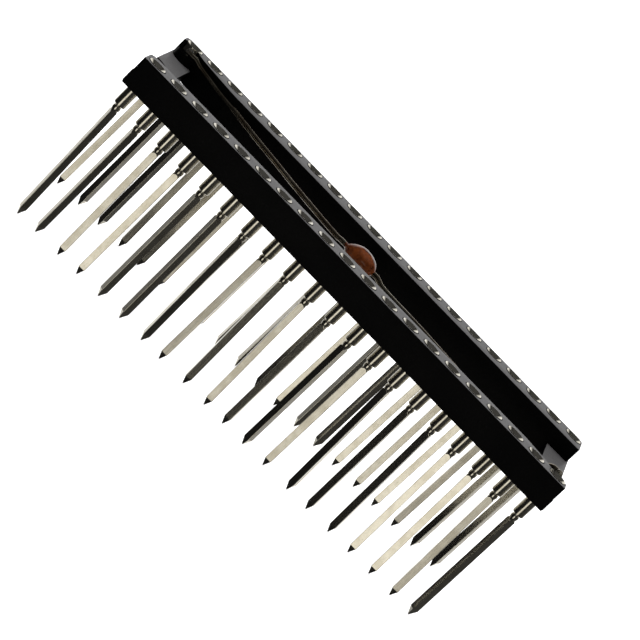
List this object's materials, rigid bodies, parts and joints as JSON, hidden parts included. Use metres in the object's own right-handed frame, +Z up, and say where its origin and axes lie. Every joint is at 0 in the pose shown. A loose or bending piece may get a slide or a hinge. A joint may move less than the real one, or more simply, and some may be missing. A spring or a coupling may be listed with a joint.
{
  "type": "wire-wrap IC socket",
  "caption": "IC socket with an open black frame, turned contacts in rows, long square wire-wrap tails and an axial capacitor wired diagonally across the opening.",
  "frame": {"origin": "centre of the contact pattern in plan, at the level of the tail tips that the socket stands on", "axes": "+X along the rows from pin 1 to pin 20, +Y from the row of pins 1 to 20 to the row of pins 21 to 40, +Z up out of the receptacles"},
  "size_m": [0.0507, 0.0176, 0.0183],
  "materials": {
    "black_plastic": "fine-grained moulded black, faintly satin",
    "tin_plate": "bright tin plate over turned brass, slightly warm",
    "gold_plate": "thin gold plate over spring copper alloy",
    "brown_coat": "glossy dark brown dipped coat",
    "tinned_wire": "tinned copper wire, satin",
    "solder": "smooth solder fillet"
  },
  "bodies": {
    "root": {"frame": "black_plastic", "pin_01": "tin_plate", "pin_02": "tin_plate", "pin_03": "tin_plate", "pin_04": "tin_plate", "pin_05": "tin_plate", "pin_06": "tin_plate", "pin_07": "tin_plate", "pin_08": "tin_plate", "pin_09": "tin_plate", "pin_10": "tin_plate", "pin_11": "tin_plate", "pin_12": "tin_plate", "pin_13": "tin_plate", "pin_14": "tin_plate", "pin_15": "tin_plate", "pin_16": "tin_plate", "pin_17": "tin_plate", "pin_18": "tin_plate", "pin_19": "tin_plate", "pin_20": "tin_plate", "pin_21": "tin_plate", "pin_22": "tin_plate", "pin_23": "tin_plate", "pin_24": "tin_plate", "pin_25": "tin_plate", "pin_26": "tin_plate", "pin_27": "tin_plate", "pin_28": "tin_plate", "pin_29": "tin_plate", "pin_30": "tin_plate", "pin_31": "tin_plate", "pin_32": "tin_plate", "pin_33": "tin_plate", "pin_34": "tin_plate", "pin_35": "tin_plate", "pin_36": "tin_plate", "pin_37": "tin_plate", "pin_38": "tin_plate", "pin_39": "tin_plate", "pin_40": "tin_plate", "near_row_clips": "gold_plate", "far_row_clips": "gold_plate", "capacitor_body": "brown_coat", "capacitor_lead_pin_40": "tinned_wire", "capacitor_lead_pin_20": "tinned_wire", "solder_joint_pin_40": "solder", "solder_joint_pin_20": "solder"}
  },
  "joints": []
}
